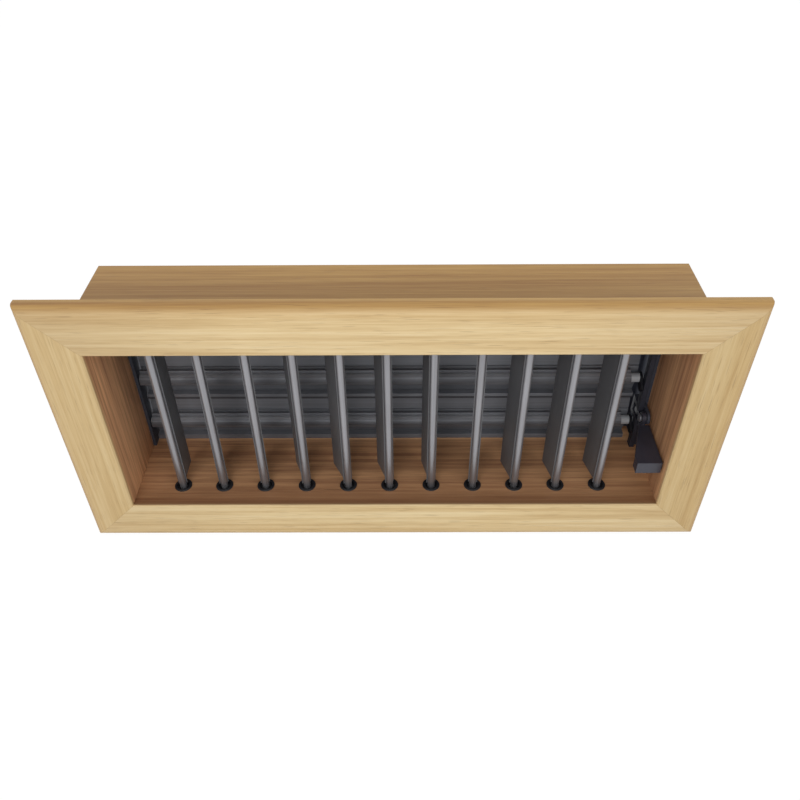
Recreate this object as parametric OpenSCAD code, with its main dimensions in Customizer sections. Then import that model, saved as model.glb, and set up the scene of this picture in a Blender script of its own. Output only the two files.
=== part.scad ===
// Closable ventilation grille: a mitred wooden frame with a collar, a row of
// upright vanes that turn one by one, and a three-blade damper behind them
// that a finger lever opens.
//
// X runs along the grille, Y from the room into the wall, Z up. The origin is
// the middle of the wall cut-out, in the plane of the flange's back face.

/* [Opening] */
// Clear width between the side walls
opening_w = 250; // [225:1:320]
// Clear height between floor and ceiling
opening_h = 90; // [84:1:120]

/* [Frame] */
// Width of the flange around the opening
flange_border = 23; // [18:0.5:40]
// Thickness of the flange
flange_t = 7; // [6:0.5:12]
// Rounding of the flange's outer front edge
edge_r = 5; // [1:0.5:5.5]
// Bevel on the flange's inner front edge
arris = 0.6; // [0.2:0.1:1.5]
// Wall of the collar behind the flange
collar_wall = 8; // [7:0.5:14]
// Depth of the collar behind the flange
collar_depth = 50; // [48:0.5:70]

/* [Vanes] */
// Distance of the vane rods behind the flange's front face
vane_setback = 13.4; // [11:0.1:16]
// Distance of the first vane from the left wall
left_margin = 21.4; // [15:0.1:26]
// Distance of the last vane from the right wall, with room for the lever
right_margin = 26.2; // [26:0.1:34]
// Diameter of a vane rod
rod_d = 3.4; // [3:0.1:5]
// Thickness of a vane plate
plate_t = 1.8; // [1.2:0.1:2.2]
// Distance from the rod's axis to the plate's rear edge
vane_reach = 16; // [10:0.5:17]
// Wall of the clip that holds the plate on the rod
clip_wall = 0.6; // [0.4:0.1:1]
// Gap between a plate's end and the wall next to it
vane_gap = 1.8; // [1:0.1:4]
// Angle that each vane is set to, from left to right
vane_set = [0, 18, 14, 22, 28, 21, 14, -8, 17, 14, 14]; // [-30:1:30]

/* [Bushes] */
// Diameter of a bush's head
bush_head_d = 8.4; // [7:0.1:10]
// Thickness of a bush's head
bush_head_t = 0.5; // [0.3:0.1:1]
// Diameter of the dish around the rod
dish_d = 6; // [5.4:0.1:6.4]
// Depth of the dish around the rod
dish_depth = 1.2; // [0.6:0.1:1.8]
// Diameter of a bush in its hole
bush_d = 7; // [6:0.1:9]
// Depth of a bush in its hole
bush_depth = 6; // [4:0.1:6.5]
// Length of rod held in a bush, below the wall's face
rod_grip = 5; // [3:0.1:5.2]

/* [Damper] */
// Distance of the blade webs in front of the collar's rear end
damper_inset = 9.6; // [7:0.1:9.8]
// Thickness of a blade's web
blade_t = 1.2; // [0.8:0.1:1.6]
// Height by which a blade laps over the one below it
blade_lap = 1.8; // [1:0.1:3]
// Height of a blade's middle above its axis
axis_drop = 0.5; // [0:0.1:1]
// Distance of the pivot port's axis in front of the web
port_ahead = 3; // [2.9:0.1:3.2]
// Outer radius of the pivot port along a blade
port_r = 3.2; // [2.8:0.1:3.4]
// Width of the slot along the port's underside
port_slot = 2; // [1.4:0.1:2.8]
// Height of the port's shoulder above the port
shoulder_rise = 0.8; // [0.5:0.1:1]
// Distance of the shoulder's front behind the port's axis
shoulder_back = 0.4; // [0.2:0.1:0.8]
// Radius of the rib along the shoulder's top
rib_r = 0.6; // [0.4:0.1:0.8]
// Distance of the groove in a blade's web above the rib
groove_rise = 0.5; // [0.3:0.1:1.5]
// Width of the groove
groove_w = 0.8; // [0.4:0.1:1.2]
// Depth of the groove
groove_depth = 0.5; // [0.3:0.1:0.6]
// Distance by which a blade's top edge is set back
blade_lean = 1.5; // [0.6:0.1:1.8]
// Distance by which the foot of a blade's web is set back
foot_lean = 2.4; // [0:0.1:2.5]
// Height of the lip along a blade's lower edge
lip_h = 3.2; // [2.8:0.1:4]
// Thickness of the lip
lip_t = 1.6; // [0.9:0.1:1.8]
// Gap between a lip and the web that it laps over
lip_gap = 0.8; // [0.3:0.1:1]
// Gap under the lowest blade
floor_gap = 0.6; // [0.6:0.1:1.5]
// Height of the stop strip under the ceiling
strip_h = 6.8; // [5:0.1:10]
// Thickness of the stop strip
strip_t = 1.2; // [1:0.1:1.5]
// Depth of the stop strip's foot under the ceiling
strip_foot = 7; // [6.8:0.1:9]
// Thickness of the left side rail
left_rail_t = 1.5; // [1.4:0.1:3]
// Thickness of the right side rail
right_rail_t = 2.4; // [2:0.1:3]
// Width of the side rails in front of the blades' pivots
rail_front = 2.9; // [2.4:0.1:6]
// Thickness of the right rail's rear leg, which closes the gap beside the blades
rail_leg_t = 1.5; // [1:0.1:1.8]
// Diameter of the pivot journals
journal_d = 3; // [2.6:0.1:3]
// Diameter of the collar on a pivot
pivot_collar_d = 4.6; // [4:0.1:4.8]
// Length of the pivot collar that a blade's notch leaves open to view
notch_w = 4; // [3:0.1:6]
// Length of pivot shank inside a blade
shank_len = 8; // [5:0.5:12]

/* [Linkage] */
// Angle that the damper opens through
swing = 70; // [40:1:72]
// Distance from a blade's axis to its crank pin
crank_r = 4.5; // [4.4:0.1:5]
// Thickness of a crank
crank_t = 1.2; // [1:0.1:1.4]
// Diameter of the crank pins
crank_pin_d = 2.4; // [2:0.1:2.6]
// Thickness of the link bar
bar_t = 2.4; // [2.2:0.1:3]
// Width of the link bar in front of its pins
bar_front = 2.4; // [2.2:0.1:2.6]
// Width of the link bar behind its pins
bar_back = 1.6; // [1.5:0.05:1.6]

/* [Lever] */
// Distance of the lever's pivot in front of the blade axes
lever_ahead = 10.6; // [10.4:0.1:11.4]
// Height of the lever's pivot above the lowest blade's axis
lever_above = 10.8; // [10:0.1:12]
// Distance from the lever's pivot to its nose in the link bar
nose_arm = 8.8; // [8.6:0.1:9.2]
// Radius of the lever's nose
nose_r = 2.2; // [2:0.1:2.4]
// Distance from the lever's pivot to the front of its finger tab
finger_len = 28.8; // [24:0.1:29.5]
// Width of the finger tab
tab_w = 11.6; // [8:0.1:13]
// Depth of the finger tab
tab_depth = 5; // [3:0.5:7]
// Height of the finger tab
tab_h = 6.4; // [4:0.1:6.6]
// Thickness of the lever's finger plate
finger_t = 3; // [2:0.1:3.4]
// Height of the lever's pivot above the top of the finger plate
lever_rise = 2.5; // [2.3:0.1:3]
// Thickness of the lever's hub and arm
hub_t = 2; // [1.4:0.1:2.4]
// Radius of the lever's hub
hub_r = 3; // [2.8:0.1:3.2]
// Thickness of the lever's arm behind the hub
arm_t = 1.8; // [1.4:0.1:2]
// Radius of the rail's ear around the lever's pin
ear_r = 3.2; // [2.8:0.1:4]
// Thickness of the ear
ear_t = 1.3; // [1:0.1:1.9]
// Diameter of the lever's pivot pin
lever_pin_d = 2.4; // [2:0.1:2.8]

/* [Screws] */
// Diameter of a screw's shank
screw_d = 2.6; // [2:0.1:3]
// Diameter of a screw's head
screw_head_d = 5; // [4:0.1:5.6]
// Length of screw in the wood
screw_len = 5; // [4:0.5:6]
// Distance of the rail screws in front of the rails' rear ends
rail_screw_back = 4.5; // [4.2:0.1:5]
// Distance of the rail screws from floor and ceiling
rail_screw_inset = 6; // [5:0.5:8]
// Distance of the outer strip screws from the side walls
strip_screw_inset = 20; // [10:1:40]

/* [Fits] */
// Radial clearance of a turning shaft in its bore
run_clear = 0.05; // [0.02:0.01:0.09]
// Gap between parts that pass each other
side_gap = 0.3; // [0.2:0.05:0.4]

/* [Hidden] */

// Place of the first rod in the list of nodes
first_rod = 6;
// Reach of cuts and joins past a face
over = 1;
vane_count = len(vane_set);
blade_count = 3;
half_w = opening_w / 2;
half_h = opening_h / 2;

// Vanes
vane_y = vane_setback - flange_t;
vane_pitch = (opening_w - left_margin - right_margin) / (vane_count - 1);
bush_bore_depth = rod_grip + side_gap;
function vane_x(i) = -half_w + left_margin + i * vane_pitch;

// Blades, from the floor up to the stop strip
web_y = collar_depth - damper_inset;
blade_y = web_y - port_ahead;
blade_pitch = (opening_h - floor_gap - strip_h) / blade_count;
blade_drop = (blade_pitch + blade_lap) / 2 - axis_drop;
blade_rise = blade_pitch + blade_lap - blade_drop;
function blade_z(i) = -half_h + floor_gap + blade_drop + i * blade_pitch;
function web_face(z) = port_ahead - blade_t / 2 + blade_lean * (z - port_r) / (blade_rise - port_r);
lip_back = web_face(blade_rise - blade_lap) - lip_gap;
ledge_gap = 0.4;
ledge_t = lip_h - blade_lap - ledge_gap;
shank_over = 0.2;
port_bore_d = journal_d + shank_over;
rib_z = port_r + shoulder_rise;
groove_z = rib_z + rib_r + groove_rise;
rail_y = blade_y - rail_front;

// Layers at the right end, from the wall inwards
right_rail_x = half_w - right_rail_t;
bar_x = right_rail_x - side_gap - bar_t;
crank_x = bar_x - side_gap - crank_t;
blade_right = crank_x - side_gap;
notch_x = blade_right - notch_w;
lever_x = right_rail_x - side_gap - hub_t;

// Left end
left_rail_x = -half_w + left_rail_t;
blade_left = left_rail_x + 2 * side_gap;
journal_end_gap = 0.4;

// Link bar at rest, with its pins half of the swing below the blade axes
pin_dy = -crank_r * cos(swing / 2);
pin_dz = -crank_r * sin(swing / 2);
lift = 2 * crank_r * sin(swing / 2);
hub_wall = 1.4;
end_wall = 1.2;
crank_hub_r = journal_d / 2 + hub_wall;
crank_end_r = crank_pin_d / 2 + end_wall;
bar_y = blade_y + pin_dy;
bar_end = 3.5;
bar_foot = 1.3;

// Lever
lever_y = blade_y - lever_ahead;
lever_z = blade_z(0) + lever_above;
lever_turn = 2 * asin(lift / 2 / nose_arm);
nose_y = lever_y + nose_arm * cos(lever_turn / 2);
nose_z = lever_z - nose_arm * sin(lever_turn / 2);
finger_top = lever_z - lever_rise;
wall_gap = 0.7;
finger_x = half_w - wall_gap;
nose_travel = nose_arm * (1 - cos(lever_turn / 2)) + crank_r + pin_dy;
pocket_gap = 0.5;
pocket_back = nose_y + nose_r + nose_travel + pocket_gap;
pocket_wall = 2.6;
ear_gap = 0.4;
ear_front = lever_y - sqrt(pow(ear_r + ear_gap, 2) - pow(lever_rise, 2));
neck_step = 0.4;
flare_back = 2;
lever_pin_head_d = 4;
lever_pin_head_t = 1.2;

// Screws
rail_screw_y = collar_depth - rail_screw_back;
rail_screw_z = half_h - rail_screw_inset;
countersink = 1.2;
strip_leg_y = blade_y + lip_back - strip_t;
strip_screw_y = strip_leg_y - side_gap - screw_head_d / 2;
strip_screw_x = half_w - strip_screw_inset;
pan_head_t = 1;

// Extrudes a Y-Z outline along X, from x0 over the length len
module along_x(x0, len) {
    translate([x0, 0, 0])
        rotate([90, 0, 90])
            linear_extrude(height = len)
                children();
}

// A cylinder along X through the point (y, z)
module rod_x(x0, len, d, y, z) {
    translate([x0, y, z])
        rotate([0, 90, 0])
            cylinder(h = len, d = d, $fn = 48);
}

// The moulding's outline, with the opening's wall along the bottom
module moulding_outline() {
    translate([-flange_t, 0])
        square([flange_t + collar_depth, collar_wall]);
    translate([-flange_t, 0])
        square([flange_t, flange_border - edge_r]);
    translate([edge_r - flange_t, 0])
        square([flange_t - edge_r, flange_border]);
    intersection() {
        translate([edge_r - flange_t, flange_border - edge_r])
            circle(r = edge_r, $fn = 96);
        translate([-flange_t, flange_border - edge_r])
            square(edge_r);
    }
}

// The outline with its inner front edge taken off
module eased_outline() {
    difference() {
        moulding_outline();
        polygon([
            [-flange_t - over, -over], [arris - flange_t + over, -over], [-flange_t - over, arris + over]
        ]);
    }
}

// One side of the frame, mitred at both ends, for a clear length of len
module moulding(len) {
    outer = len / 2 + flange_border;
    intersection() {
        along_x(-outer, 2 * outer)
            eased_outline();
        translate([0, collar_depth + over, 0])
            rotate([90, 0, 0])
                linear_extrude(height = collar_depth + flange_t + 2 * over)
                    polygon([[-len / 2, 0], [len / 2, 0], [outer, flange_border], [-outer, flange_border]]);
    }
}

// Blind holes for the bushes, going up from the wall's face at z = 0
module bush_holes() {
    for (i = [0 : vane_count - 1])
        translate([vane_x(i), vane_y, -over])
            cylinder(h = bush_depth + over, d = bush_d, $fn = 48);
}

module bottom_rail() {
    color("burlywood")
        mirror([0, 0, 1])
            translate([0, 0, half_h])
                difference() {
                    moulding(opening_w);
                    bush_holes();
                }
}

module top_rail() {
    color("burlywood")
        translate([0, 0, half_h])
            difference() {
                moulding(opening_w);
                bush_holes();
                for (x = [-strip_screw_x, 0, strip_screw_x])
                    translate([x, strip_screw_y, -over])
                        cylinder(h = screw_len + over, d = screw_d, $fn = 32);
            }
}

module right_stile() {
    color("tan")
        stile();
}

module left_stile() {
    color("tan")
        mirror([1, 0, 0])
            stile();
}

// The right-hand stile, which the left one mirrors
module stile() {
    difference() {
        rotate([0, 90, 0])
            translate([0, 0, half_w])
                moulding(opening_h);
        for (z = [-rail_screw_z, rail_screw_z])
            rod_x(half_w - over, screw_len + over, screw_d, rail_screw_y, z);
    }
}

// One bush, seated in a hole that goes up from the wall's face at z = 0
module bush() {
    difference() {
        union() {
            cylinder(h = bush_depth, d = bush_d, $fn = 48);
            translate([0, 0, -bush_head_t])
                cylinder(h = bush_head_t, d = bush_head_d, $fn = 48);
        }
        translate([0, 0, -bush_head_t - over])
            cylinder(h = bush_bore_depth + bush_head_t + over, d = rod_d + 2 * run_clear, $fn = 48);
        translate([0, 0, -bush_head_t - over])
            cylinder(h = over + dish_depth, d = dish_d, $fn = 48);
    }
}

module bush_row() {
    for (i = [0 : vane_count - 1])
        translate([vane_x(i), vane_y, half_h])
            bush();
}

module upper_bushes() {
    color("black")
        bush_row();
}

module lower_bushes() {
    color("black")
        mirror([0, 0, 1])
            bush_row();
}

// The rod of vane number i, counted from 0 at the left
module vane_rod(i) {
    reach = half_h + rod_grip;
    color("silver")
        translate([vane_x(i), vane_y, -reach])
            cylinder(h = 2 * reach, d = rod_d, $fn = 48);
}

// A vane plate's outline, with its rod at the origin and its rear edge at +Y
module plate_outline() {
    clip_r = rod_d / 2 + clip_wall;
    clip_mouth = 0.2;
    difference() {
        union() {
            intersection() {
                circle(r = clip_r, $fn = 48);
                translate([-clip_r, clip_mouth])
                    square([2 * clip_r, clip_r]);
            }
            translate([-plate_t / 2, 0])
                square([plate_t, vane_reach - plate_t / 2]);
            translate([0, vane_reach - plate_t / 2])
                circle(d = plate_t, $fn = 32);
        }
        circle(d = rod_d, $fn = 48);
    }
}

module vane_plate(i) {
    reach = half_h - vane_gap;
    color("dimgray")
        translate([vane_x(i), vane_y, -reach])
            rotate([0, 0, vane_set[i]])
                linear_extrude(height = 2 * reach)
                    plate_outline();
}

// A countersunk screw that goes into the right wall at height z
module rail_screw(z) {
    rod_x(half_w - right_rail_t, right_rail_t + screw_len, screw_d, rail_screw_y, z);
    countersink_cone(z);
}

module countersink_cone(z) {
    translate([half_w - right_rail_t, rail_screw_y, z])
        rotate([0, 90, 0])
            cylinder(h = countersink, d1 = screw_head_d, d2 = screw_d, $fn = 48);
}

module damper_right_rail() {
    cut_x = right_rail_x - over;
    cut_len = right_rail_t + 2 * over;
    color("lightsteelblue")
        difference() {
            union() {
                along_x(right_rail_x, right_rail_t)
                    rail_outline();
                along_x(right_rail_x, ear_t)
                    ear_outline();
                translate([blade_right + side_gap, collar_depth - rail_leg_t, -half_h])
                    cube([right_rail_x - blade_right - side_gap + over, rail_leg_t, opening_h]);
            }
            for (i = [0 : blade_count - 1])
                rod_x(cut_x, cut_len, journal_d + 2 * run_clear, blade_y, blade_z(i));
            rod_x(cut_x, cut_len, lever_pin_d, lever_y, lever_z);
            for (z = [-rail_screw_z, rail_screw_z]) {
                rod_x(cut_x, cut_len, screw_d, rail_screw_y, z);
                countersink_cone(z);
            }
        }
}

// A tall plate from the rail's front to the collar's rear end
module rail_outline() {
    translate([rail_y, -half_h])
        square([collar_depth - rail_y, opening_h]);
}

// The ear in front of the right rail, which carries the lever's pin
module ear_outline() {
    translate([lever_y, lever_z - ear_r])
        square([rail_y - lever_y + over, 2 * ear_r]);
    translate([lever_y, lever_z])
        circle(r = ear_r, $fn = 48);
}

module damper_left_rail() {
    cut_x = -half_w - over;
    cut_len = left_rail_t + 2 * over;
    color("lightsteelblue")
        difference() {
            along_x(-half_w, left_rail_t)
                rail_outline();
            for (i = [0 : blade_count - 1])
                rod_x(cut_x, cut_len, journal_d + 2 * run_clear, blade_y, blade_z(i));
            for (z = [-rail_screw_z, rail_screw_z]) {
                rod_x(cut_x, cut_len, screw_d, rail_screw_y, z);
                left_countersink_cone(z);
            }
        }
}

module left_countersink_cone(z) {
    translate([left_rail_x, rail_screw_y, z])
        rotate([0, -90, 0])
            cylinder(h = countersink, d1 = screw_head_d, d2 = screw_d, $fn = 48);
}

module rail_screws() {
    color("gainsboro")
        for (z = [-rail_screw_z, rail_screw_z]) {
            rail_screw(z);
            rod_x(-half_w - screw_len, left_rail_t + screw_len, screw_d, rail_screw_y, z);
            left_countersink_cone(z);
        }
}

// An angle strip under the ceiling, which the upper blade closes against
module damper_stop_strip() {
    color("darkgray")
        difference() {
            along_x(left_rail_x, right_rail_x - left_rail_x) {
                translate([strip_leg_y, half_h - strip_h])
                    square([strip_t, strip_h]);
                translate([strip_leg_y + strip_t - strip_foot, half_h - strip_t])
                    square([strip_foot, strip_t]);
            }
            for (x = [-strip_screw_x, 0, strip_screw_x])
                translate([x, strip_screw_y, half_h - strip_t - over])
                    cylinder(h = strip_t + 2 * over, d = screw_d, $fn = 32);
        }
}

module strip_screws() {
    color("gainsboro")
        for (x = [-strip_screw_x, 0, strip_screw_x])
            translate([x, strip_screw_y, half_h - strip_t - pan_head_t]) {
                cylinder(h = pan_head_t, d = screw_head_d, $fn = 48);
                cylinder(h = pan_head_t + strip_t + screw_len, d = screw_d, $fn = 32);
            }
}

// A blade's outline, closed: a bent web with a lip below, and the pivot port
// with its ribbed shoulder on its front, with the port's axis at the origin
module blade_outline() {
    front = port_ahead - blade_t / 2;
    back = port_ahead + blade_t / 2;
    ledge_z = lip_h - blade_drop;
    difference() {
        union() {
            polygon([
                [front, 0], [back, 0], [back, port_r], [back + blade_lean, blade_rise],
                [front + blade_lean, blade_rise], [front, port_r]
            ]);
            polygon([
                [front, 0], [front, -port_r], [front + foot_lean, ledge_z],
                [back + foot_lean, ledge_z], [back, -port_r], [back, 0]
            ]);
            translate([lip_back - lip_t, ledge_z - ledge_t])
                square([back + foot_lean - lip_back + lip_t, ledge_t]);
            translate([lip_back - lip_t, lip_t / 2 - blade_drop])
                square([lip_t, lip_h - lip_t / 2]);
            translate([lip_back - lip_t / 2, lip_t / 2 - blade_drop])
                circle(d = lip_t, $fn = 32);
            circle(r = port_r, $fn = 64);
            translate([0, -port_r])
                square([port_ahead, 2 * port_r]);
            translate([shoulder_back, 0])
                square([port_ahead - shoulder_back, rib_z]);
            translate([shoulder_back + rib_r / 2, rib_z])
                circle(r = rib_r, $fn = 32);
        }
        circle(d = port_bore_d, $fn = 48);
        translate([-port_slot / 2, -port_r - over])
            square([port_slot, port_r + over]);
        translate([web_face(groove_z) - over, groove_z])
            square([over + groove_depth, groove_w]);
    }
}

// Blade number i, counted from 0 at the floor
module blade(i) {
    color("slategray")
        translate([0, blade_y, blade_z(i)])
            difference() {
                along_x(blade_left, blade_right - blade_left)
                    blade_outline();
                translate([notch_x, -port_r - over, -port_r])
                    cube([notch_w + over, port_r + over + port_ahead - blade_t / 2, port_r + rib_z + rib_r]);
            }
}

module left_pivot(i) {
    journal_x = -half_w + journal_end_gap;
    color("white") {
        rod_x(blade_left, shank_len, port_bore_d, blade_y, blade_z(i));
        rod_x(blade_left - side_gap, side_gap, pivot_collar_d, blade_y, blade_z(i));
        rod_x(journal_x, blade_left - side_gap - journal_x, journal_d, blade_y, blade_z(i));
    }
}

module right_pivot(i) {
    color("white") {
        rod_x(notch_x - shank_len, shank_len, port_bore_d, blade_y, blade_z(i));
        rod_x(notch_x, crank_x - notch_x, pivot_collar_d, blade_y, blade_z(i));
        rod_x(crank_x, half_w - journal_end_gap - crank_x, journal_d, blade_y, blade_z(i));
    }
}

// A crank's outline, with the blade's axis at the origin
module crank_outline() {
    circle(r = crank_hub_r, $fn = 48);
    translate([pin_dy, pin_dz])
        circle(r = crank_end_r, $fn = 48);
    rotate(atan2(pin_dz, pin_dy))
        translate([0, -crank_end_r])
            square([crank_r, 2 * crank_end_r]);
}

module crank(i) {
    color("black") {
        difference() {
            translate([0, blade_y, blade_z(i)])
                along_x(crank_x, crank_t)
                    crank_outline();
            rod_x(crank_x - over, crank_t + 2 * over, journal_d, blade_y, blade_z(i));
        }
        rod_x(crank_x + crank_t, side_gap + bar_t, crank_pin_d, bar_y, blade_z(i) + pin_dz);
    }
}

// The bar that joins the three cranks, with a pocket for the lever's nose
module link_bar() {
    low_z = -half_h + bar_foot;
    high_z = blade_z(blade_count - 1) + pin_dz + bar_end;
    pocket_h = 2 * (nose_r + side_gap);
    color("black")
        difference() {
            along_x(bar_x, bar_t) {
                translate([bar_y - bar_front, low_z])
                    square([bar_front + bar_back, high_z - low_z]);
                translate([bar_y, nose_z - pocket_h / 2 - pocket_wall])
                    square([pocket_back + pocket_wall - bar_y, pocket_h + 2 * pocket_wall]);
            }
            for (i = [0 : blade_count - 1]) {
                pin_z = blade_z(i) + pin_dz;
                rod_x(bar_x - over, bar_t + 2 * over, crank_pin_d + 2 * run_clear, bar_y, pin_z);
            }
            translate([bar_x - over, bar_y - bar_front - over, nose_z - pocket_h / 2])
                cube([bar_t + 2 * over, pocket_back - bar_y + bar_front + over, pocket_h]);
        }
}

// The lever's hub, arm and nose
module lever_outline() {
    translate([lever_y, lever_z])
        circle(r = hub_r, $fn = 48);
    translate([nose_y, nose_z])
        circle(r = nose_r, $fn = 48);
    translate([lever_y, lever_z])
        rotate(-lever_turn / 2)
            translate([0, -arm_t / 2])
                square([nose_arm, arm_t]);
    translate([ear_front, finger_top - finger_t])
        square([lever_y - ear_front + over, finger_t + lever_rise]);
}

// The finger plate seen from above: narrow at the hub, wide at the tab
module finger_outline() {
    front_y = lever_y - finger_len;
    hub_left = lever_x - neck_step;
    hub_right = lever_x + hub_t;
    polygon([
        [finger_x - tab_w, front_y], [finger_x, front_y], [finger_x, ear_front],
        [hub_right, ear_front], [hub_right, lever_y + over], [hub_left, lever_y + over],
        [hub_left, ear_front + flare_back],
        [finger_x - tab_w, front_y + tab_depth]
    ]);
}

module finger_lever() {
    front_y = lever_y - finger_len;
    color("darkslategray")
        difference() {
            union() {
                along_x(lever_x, hub_t)
                    lever_outline();
                translate([0, 0, finger_top - finger_t])
                    linear_extrude(height = finger_t)
                        finger_outline();
                translate([finger_x - tab_w, front_y, finger_top - tab_h])
                    cube([tab_w, tab_depth, tab_h]);
            }
            rod_x(lever_x - over, hub_t + 2 * over, lever_pin_d + 2 * run_clear, lever_y, lever_z);
        }
}

module lever_pin() {
    neck_x = lever_x - side_gap;
    color("silver") {
        rod_x(neck_x - lever_pin_head_t, lever_pin_head_t, lever_pin_head_d, lever_y, lever_z);
        rod_x(neck_x, right_rail_x + ear_t - neck_x, lever_pin_d, lever_y, lever_z);
    }
}

top_rail();
bottom_rail();
left_stile();
right_stile();
upper_bushes();
lower_bushes();
for (i = [0 : vane_count - 1]) {
    vane_rod(i);
    vane_plate(i);
}
damper_left_rail();
damper_right_rail();
damper_stop_strip();
rail_screws();
strip_screws();
blade(0);  // blade_lower
blade(1);  // blade_middle
blade(2);  // blade_upper
left_pivot(0);  // left_pivot_lower
left_pivot(1);  // left_pivot_middle
left_pivot(2);  // left_pivot_upper
right_pivot(0);  // right_pivot_lower
right_pivot(1);  // right_pivot_middle
right_pivot(2);  // right_pivot_upper
crank(0);  // crank_lower
crank(1);  // crank_middle
crank(2);  // crank_upper
link_bar();
finger_lever();
lever_pin();
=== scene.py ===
"""Looks of a closable ventilation grille: a mitred oak frame with a collar,
a row of upright vanes, and a three-blade damper with its finger lever.

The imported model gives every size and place. Flat and extruded pieces are
merged copies of its nodes with eased edges. Rods, bushes, screws and the
lever's pin are surfaces of revolution worked out here. The nylon pivots are
the nodes themselves.
"""

import logging
import math
from dataclasses import dataclass, field, replace
from enum import Enum

import bmesh
import bpy
import numpy as np
from mathutils import Matrix, Vector


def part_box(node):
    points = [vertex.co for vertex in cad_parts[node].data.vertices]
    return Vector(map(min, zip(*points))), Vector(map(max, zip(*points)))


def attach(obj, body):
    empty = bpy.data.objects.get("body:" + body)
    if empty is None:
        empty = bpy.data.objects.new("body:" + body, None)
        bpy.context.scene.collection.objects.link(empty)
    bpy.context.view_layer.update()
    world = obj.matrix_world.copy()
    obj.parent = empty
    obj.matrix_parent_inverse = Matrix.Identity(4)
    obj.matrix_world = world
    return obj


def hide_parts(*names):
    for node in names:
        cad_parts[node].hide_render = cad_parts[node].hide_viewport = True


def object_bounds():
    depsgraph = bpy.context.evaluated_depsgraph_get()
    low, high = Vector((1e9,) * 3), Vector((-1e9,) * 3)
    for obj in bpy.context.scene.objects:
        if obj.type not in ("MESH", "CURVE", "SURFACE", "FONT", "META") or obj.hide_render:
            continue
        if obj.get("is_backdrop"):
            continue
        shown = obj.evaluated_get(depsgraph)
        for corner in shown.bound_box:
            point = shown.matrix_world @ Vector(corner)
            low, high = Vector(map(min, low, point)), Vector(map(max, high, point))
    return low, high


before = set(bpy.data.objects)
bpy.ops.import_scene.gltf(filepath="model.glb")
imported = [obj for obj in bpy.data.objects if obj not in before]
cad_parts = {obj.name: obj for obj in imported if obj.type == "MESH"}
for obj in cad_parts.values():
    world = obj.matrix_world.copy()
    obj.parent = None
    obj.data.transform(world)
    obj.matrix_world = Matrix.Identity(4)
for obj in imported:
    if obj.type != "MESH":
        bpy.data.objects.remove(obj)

log = logging.getLogger("grille")

Triple = tuple[float, float, float]
Colour = Triple
Range = tuple[float, float]
Outline = list[tuple[float, float]]

MM = 0.001

# The face's plane, the flange's back and the opening's half sizes
FACE_Y = -7 * MM
FLANGE_BACK_Y = 0.0
HALF_W = 125 * MM
HALF_H = 45 * MM

# Points closer than WELD are one, and edges flatter than FLAT are joined away
WELD = 1e-6
FLAT = math.radians(1.0)

# Edges sharper than these are eased on a copy, or stay sharp on a turned piece
EASED_ANGLE = math.radians(32)
TURNED_ANGLE = math.radians(38)

# Rings and segments of a head that are fine enough to take a recess, and the
# share of a domed head's height that its upright rim takes
HEAD_RINGS = 22
HEAD_SEGMENTS = 96
HEAD_RIM = 0.35

# Steps of a quarter turn in an outline
ARC_STEPS = 5

WHITE = (1.0, 1.0, 1.0, 1.0)


class Axis(Enum):
    """A direction of the row frame, as a column number."""

    X = 0
    Y = 1
    Z = 2


class Row(Enum):
    """A row of bushes, as the way that its bushes point into the wood."""

    CEILING = 1.0
    FLOOR = -1.0


class Level(Enum):
    """The damper's three levels, from the floor up."""

    LOWER = "lower"
    MIDDLE = "middle"
    UPPER = "upper"


def srgb(red: float, green: float, blue: float) -> Colour:
    """Turns a colour as the eye reads it, 0 to 255, into linear light.

    Args:
        red: The red value.
        green: The green value.
        blue: The blue value.

    Returns:
        The three linear values, 0 to 1.
    """
    value = np.array([red, green, blue]) / 255
    linear = np.where(value <= 0.04045, value / 12.92, ((value + 0.055) / 1.055) ** 2.4)
    return tuple(float(v) for v in linear)


# Shaders


class Socket:
    """A shader value that adds Math nodes when Python's operators are used on it."""

    def __init__(self, shader: "Shader", link: bpy.types.NodeSocket) -> None:
        """Keeps a node's output.

        Args:
            shader: The shader that the node is in.
            link: The output's socket.
        """
        self.shader = shader
        self.link = link

    def _math(self, operation: str, *values: "Socket | float", clamp: bool = False) -> "Socket":
        """Adds one Math node.

        Args:
            operation: The node's operation.
            values: Its inputs, in order.
            clamp: Whether the result stays within 0 and 1.

        Returns:
            The node's result.
        """
        settings = {"operation": operation, "use_clamp": clamp}
        return self.shader.node("ShaderNodeMath", settings, dict(enumerate(values)))

    def __add__(self, other: "Socket | float") -> "Socket":
        """self + other."""
        return self._math("ADD", self, other)

    __radd__ = __add__

    def __sub__(self, other: "Socket | float") -> "Socket":
        """self - other."""
        return self._math("SUBTRACT", self, other)

    def __rsub__(self, other: float) -> "Socket":
        """other - self."""
        return self._math("SUBTRACT", other, self)

    def __mul__(self, other: "Socket | float") -> "Socket":
        """self * other."""
        return self._math("MULTIPLY", self, other)

    __rmul__ = __mul__

    def __truediv__(self, other: "Socket | float") -> "Socket":
        """self / other."""
        return self._math("DIVIDE", self, other)

    def __rtruediv__(self, other: float) -> "Socket":
        """other / self."""
        return self._math("DIVIDE", other, self)

    def __abs__(self) -> "Socket":
        """The value without its sign."""
        return self._math("ABSOLUTE", self)

    def larger(self, other: "Socket | float") -> "Socket":
        """The larger of the two values."""
        return self._math("MAXIMUM", self, other)

    def clamped(self) -> "Socket":
        """The value kept within 0 and 1."""
        return self._math("ADD", self, 0.0, clamp=True)

    def step(self, start: float, end: float) -> "Socket":
        """A ramp from 0 at start to 1 at end, kept within 0 and 1."""
        return ((self - start) / (end - start)).clamped()

    def between(self, rise: Range, fall: Range) -> "Socket":
        """1 past the ramp of rise and before that of fall, and 0 outside both."""
        return self.step(*rise) * (1 - self.step(*fall))


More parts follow.
